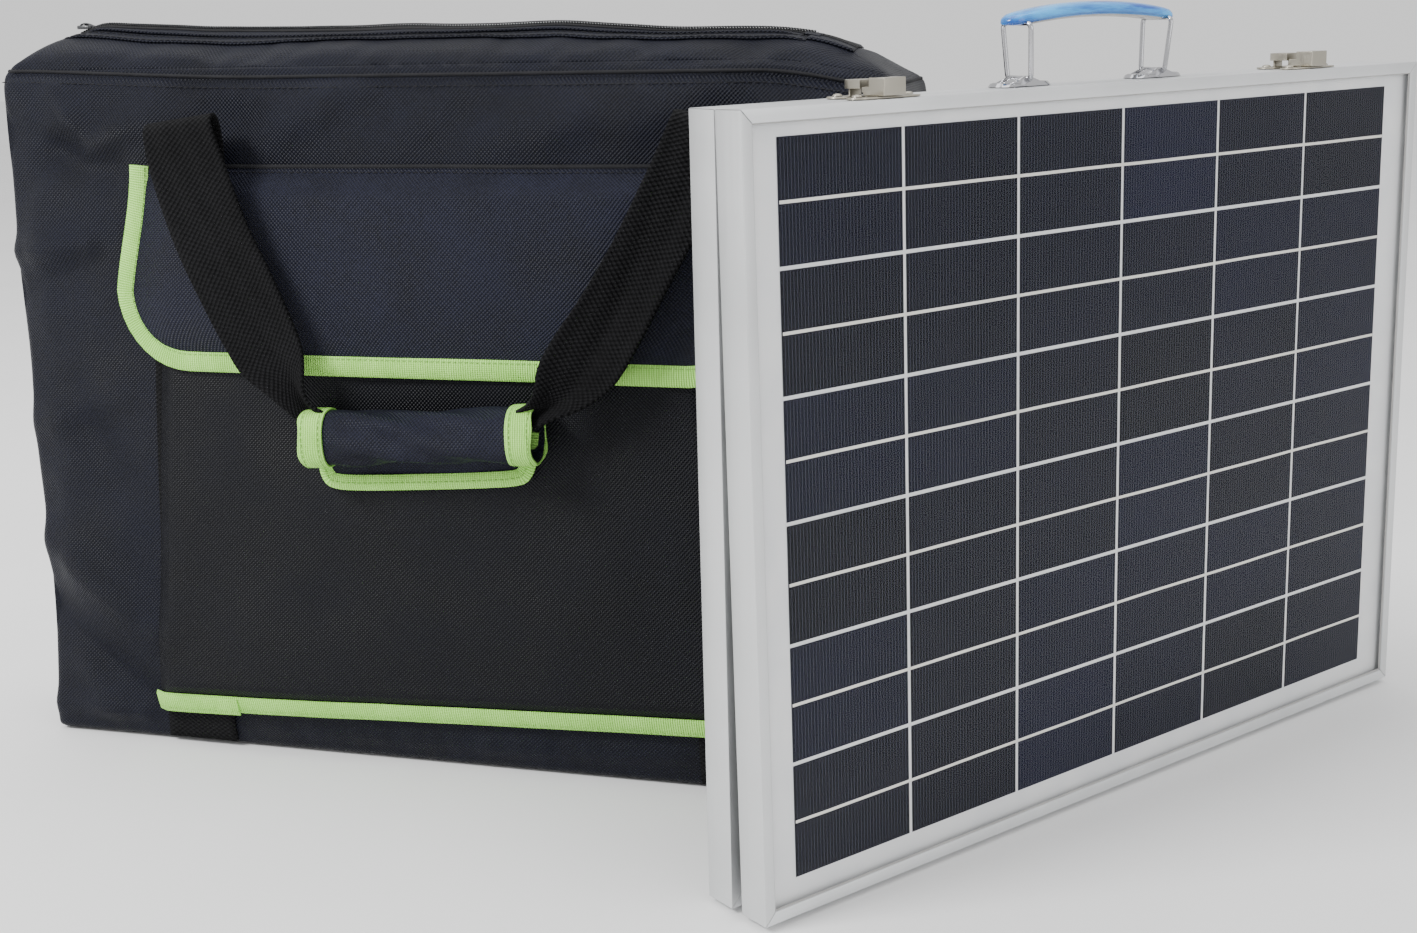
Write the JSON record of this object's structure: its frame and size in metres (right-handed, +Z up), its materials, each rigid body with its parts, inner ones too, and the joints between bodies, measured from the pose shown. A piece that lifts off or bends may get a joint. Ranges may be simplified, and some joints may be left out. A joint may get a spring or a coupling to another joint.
{
  "type": "solar suitcase kit",
  "caption": "Folding two-panel solar suitcase with latches, carry handle and stowed stands, next to its padded carry bag with pocket, webbing handles and zipped roof.",
  "frame": {"origin": "middle of the underside of the carry bag's floor", "axes": "+X along the bag to the side where the panels stand, +Y from the bag's pocket face to its back, +Z up; the panels stand beside the bag, turned 53 degrees about Z"},
  "size_m": [0.8681, 0.4724, 0.4686],
  "materials": {
    "anodised_aluminium": "satin anodised",
    "low_iron_glass": "clear, faint sheen",
    "cells_and_backsheet": "dark blue-black cells on a white backsheet, under glass",
    "black_plastic": "matte",
    "blue_plastic": "translucent gloss",
    "zinc_steel": "zinc plated",
    "nickel_plate": "nickel plated, warm",
    "chrome_plate": "bright",
    "black_nylon": "coated weave, low sheen, green binding",
    "black_webbing": "coarse woven tape, matte"
  },
  "bodies": {
    "bag": {"bag_floor": "black_nylon", "bag_front_wall": "black_nylon", "bag_rear_wall": "black_nylon", "bag_left_end": "black_nylon", "bag_right_end": "black_nylon", "bag_left_hip": "black_nylon", "bag_right_hip": "black_nylon", "bag_pocket_panel": "black_nylon"},
    "rear_panel": {"rear_bottom_rail": "anodised_aluminium", "rear_top_rail": "anodised_aluminium", "rear_left_stile": "anodised_aluminium", "rear_right_stile": "anodised_aluminium", "rear_glass": "low_iron_glass", "rear_cell_laminate": "cells_and_backsheet", "rear_junction_box": "black_plastic", "rear_junction_box_lid": "black_plastic", "rear_left_hinge_leaf": "zinc_steel", "rear_right_hinge_leaf": "zinc_steel", "left_hinge_pin": "zinc_steel", "right_hinge_pin": "zinc_steel", "charge_controller_base": "anodised_aluminium", "charge_controller_cover": "black_plastic", "left_latch_keeper": "nickel_plate", "right_latch_keeper": "nickel_plate", "left_handle_bracket": "chrome_plate", "right_handle_bracket": "chrome_plate"},
    "front_panel": {"front_bottom_rail": "anodised_aluminium", "front_top_rail": "anodised_aluminium", "front_left_stile": "anodised_aluminium", "front_right_stile": "anodised_aluminium", "front_glass": "low_iron_glass", "front_cell_laminate": "cells_and_backsheet", "front_junction_box": "black_plastic", "front_junction_box_lid": "black_plastic", "front_left_hinge_leaf": "zinc_steel", "front_right_hinge_leaf": "zinc_steel", "left_latch_base": "nickel_plate", "right_latch_base": "nickel_plate"},
    "front_stand": {"front_stand_left_leg": "anodised_aluminium", "front_stand_right_leg": "anodised_aluminium", "front_stand_foot_bar": "anodised_aluminium"},
    "rear_stand": {"rear_stand_left_leg": "anodised_aluminium", "rear_stand_right_leg": "anodised_aluminium", "rear_stand_foot_bar": "anodised_aluminium"},
    "left_lever": {"left_latch_lever": "nickel_plate"},
    "left_claw": {"left_latch_claw": "nickel_plate"},
    "right_lever": {"right_latch_lever": "nickel_plate"},
    "right_claw": {"right_latch_claw": "nickel_plate"},
    "left_loop": {"left_handle_loop": "chrome_plate"},
    "right_loop": {"right_handle_loop": "chrome_plate"},
    "grip": {"carry_grip": "blue_plastic"},
    "front_handle": {"bag_front_handle": "black_webbing", "bag_handle_wrap": "black_nylon"},
    "pocket_flap": {"bag_pocket_flap": "black_nylon"},
    "rear_handle": {"bag_rear_handle": "black_webbing"},
    "front_roof": {"bag_front_roof": "black_nylon"},
    "rear_roof": {"bag_rear_roof": "black_nylon"},
    "slider": {"zip_slider": "nickel_plate"}
  },
  "joints": [
    {"name": "panels_lift_clear", "type": "slide", "parent": "bag", "child": "rear_panel", "axis": [0, 0, 1], "range_m": [0, 0.5]},
    {"name": "panel_fold", "type": "hinge", "parent": "rear_panel", "child": "front_panel", "pos_m": [0.394, 0.024, 0.0027], "axis": [0.6018, 0.7986, 0], "range_deg": [0, 180]},
    {"name": "front_stand_pivot", "type": "hinge", "parent": "front_panel", "child": "front_stand", "pos_m": [0.40077, 0.0189, 0.03287], "axis": [-0.6018, -0.7986, 0], "range_deg": [0, 60]},
    {"name": "rear_stand_pivot", "type": "hinge", "parent": "rear_panel", "child": "rear_stand", "pos_m": [0.38677, 0.02945, 0.0327], "axis": [0.6018, 0.7986, 0], "range_deg": [0, 60]},
    {"name": "left_latch_lever_pivot", "type": "hinge", "parent": "front_panel", "child": "left_lever", "pos_m": [0.28734, -0.1185, 0.42409], "axis": [-0.6018, -0.7986, 0], "range_deg": [0, 90]},
    {"name": "left_latch_claw_pivot", "type": "hinge", "parent": "left_lever", "child": "left_claw", "pos_m": [0.29133, -0.12151, 0.42418], "axis": [-0.6018, -0.7986, 0], "range_deg": [-90, 0]},
    {"name": "right_latch_lever_pivot", "type": "hinge", "parent": "front_panel", "child": "right_lever", "pos_m": [0.49918, 0.16261, 0.42409], "axis": [-0.6018, -0.7986, 0], "range_deg": [0, 90]},
    {"name": "right_latch_claw_pivot", "type": "hinge", "parent": "right_lever", "child": "right_claw", "pos_m": [0.50317, 0.15961, 0.42418], "axis": [-0.6018, -0.7986, 0], "range_deg": [-90, 0]},
    {"name": "left_loop_pivot", "type": "hinge", "parent": "rear_panel", "child": "left_loop", "pos_m": [0.34783, -0.01359, 0.4238], "axis": [0.7986, -0.6018, 0], "range_deg": [0, 60]},
    {"name": "right_loop_pivot", "type": "hinge", "parent": "rear_panel", "child": "right_loop", "pos_m": [0.415, 0.07554, 0.4238], "axis": [0.7986, -0.6018, 0], "range_deg": [0, 55]},
    {"name": "grip_pivot", "type": "hinge", "parent": "left_loop", "child": "grip", "pos_m": [0.34615, -0.01582, 0.4543], "axis": [0.7986, -0.6018, 0], "range_deg": [-57, 0]},
    {"name": "front_handle_swing", "type": "hinge", "parent": "bag", "child": "front_handle", "pos_m": [0, -0.0701, 0.406], "axis": [-1, 0, 0], "range_deg": [0, 155]},
    {"name": "pocket_flap_seam", "type": "hinge", "parent": "bag", "child": "pocket_flap", "pos_m": [0, -0.0561, 0.378], "axis": [-1, 0, 0], "range_deg": [0, 140]},
    {"name": "rear_handle_swing", "type": "hinge", "parent": "bag", "child": "rear_handle", "pos_m": [0, 0.0485, 0.406], "axis": [1, 0, 0], "range_deg": [0, 155]},
    {"name": "front_roof_seam", "type": "hinge", "parent": "bag", "child": "front_roof", "pos_m": [0, -0.045, 0.4326], "axis": [1, 0, 0], "range_deg": [0, 90]},
    {"name": "rear_roof_seam", "type": "hinge", "parent": "bag", "child": "rear_roof", "pos_m": [0, 0.045, 0.4326], "axis": [-1, 0, 0], "range_deg": [0, 90]},
    {"name": "zip_run", "type": "slide", "parent": "bag", "child": "slider", "axis": [1, 0, 0], "range_m": [0, 0.46]}
  ],
  "couplings": [
    {"joint": "front_stand_pivot", "follows": "panel_fold", "ratio": 0.3333},
    {"joint": "rear_stand_pivot", "follows": "panel_fold", "ratio": 0.3333},
    {"joint": "left_latch_claw_pivot", "follows": "left_latch_lever_pivot", "ratio": -1},
    {"joint": "right_latch_claw_pivot", "follows": "right_latch_lever_pivot", "ratio": -1},
    {"joint": "right_loop_pivot", "follows": "left_loop_pivot", "ratio": 0.91},
    {"joint": "grip_pivot", "follows": "left_loop_pivot", "ratio": -0.94},
    {"joint": "pocket_flap_seam", "follows": "front_handle_swing", "ratio": 0.9}
  ]
}
